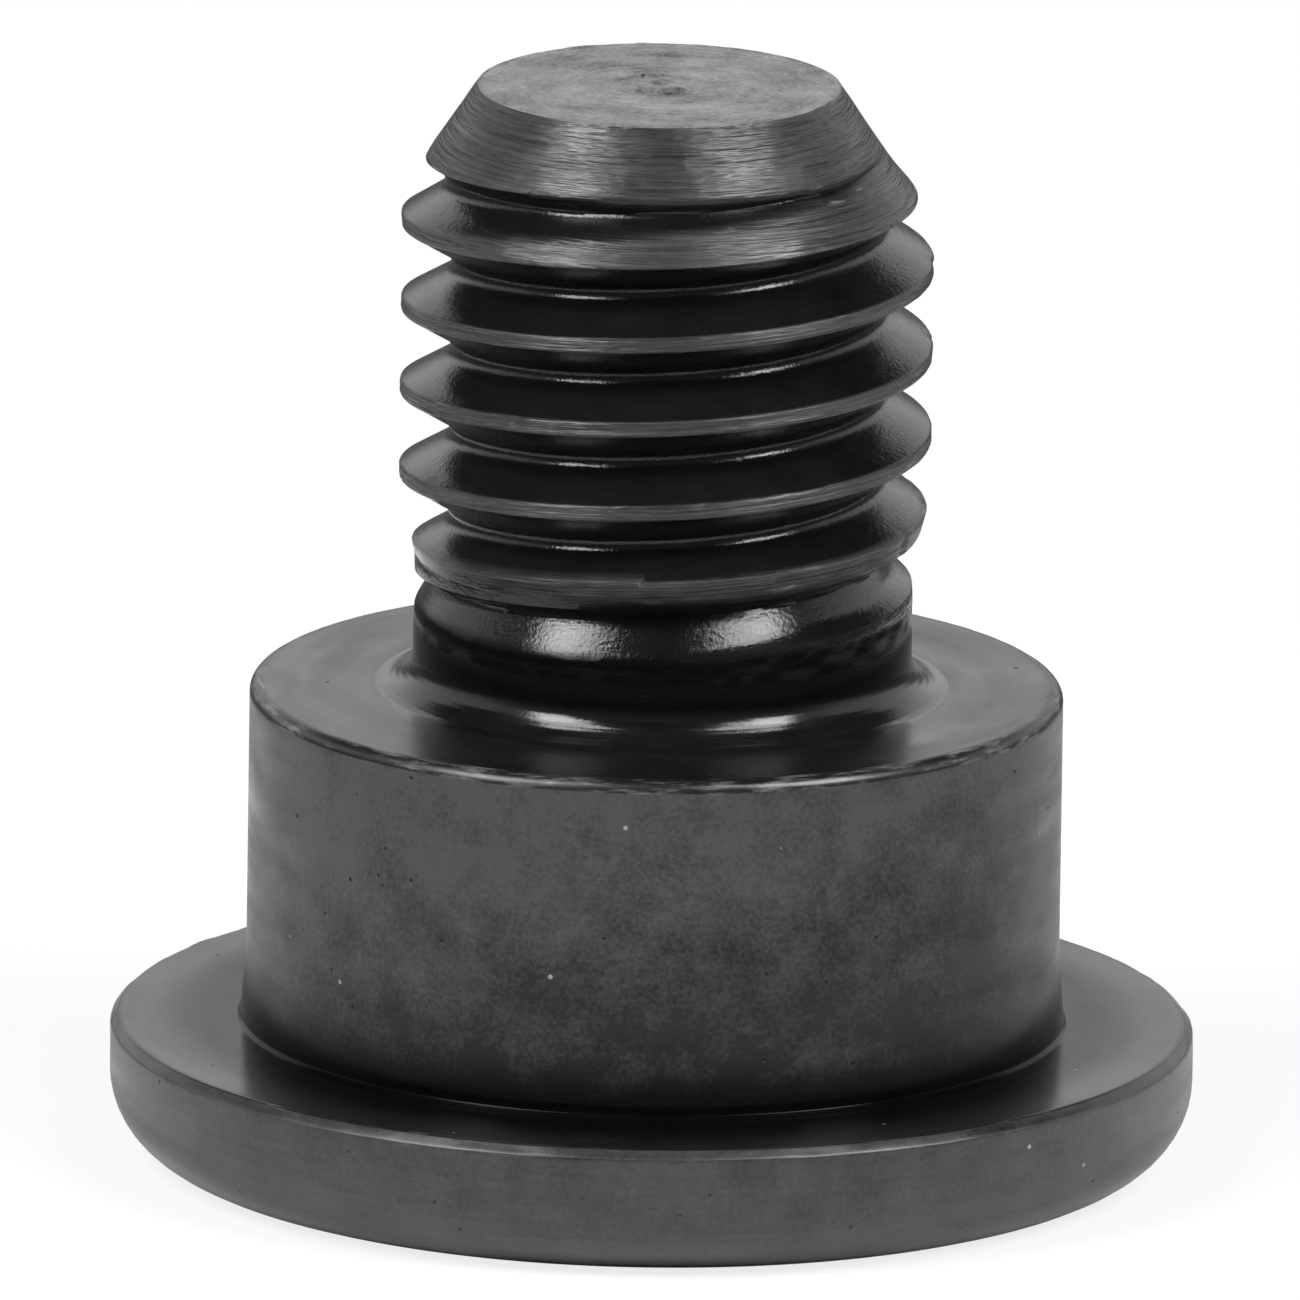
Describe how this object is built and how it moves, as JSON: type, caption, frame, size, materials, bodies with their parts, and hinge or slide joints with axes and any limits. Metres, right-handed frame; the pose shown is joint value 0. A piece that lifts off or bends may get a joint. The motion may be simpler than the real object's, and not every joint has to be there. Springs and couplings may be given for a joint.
{
  "type": "shoulder bolt",
  "caption": "Low-head shoulder bolt with a ground shoulder, a relieved neck and a right-hand metric thread, driven by a hexagon socket.",
  "frame": {"origin": "centre of the head's crown, on the plane that the bolt stands on", "axes": "+Z along the bolt's axis from the crown to the thread's tip; +X is where the first turn of the thread's groove starts, level with the neck"},
  "size_m": [0.0158, 0.0158, 0.016],
  "materials": {
    "black_steel": "oiled black oxide over a turned surface, worn on the edges"
  },
  "bodies": {
    "root": {"shoulder_bolt": "black_steel"}
  },
  "joints": []
}
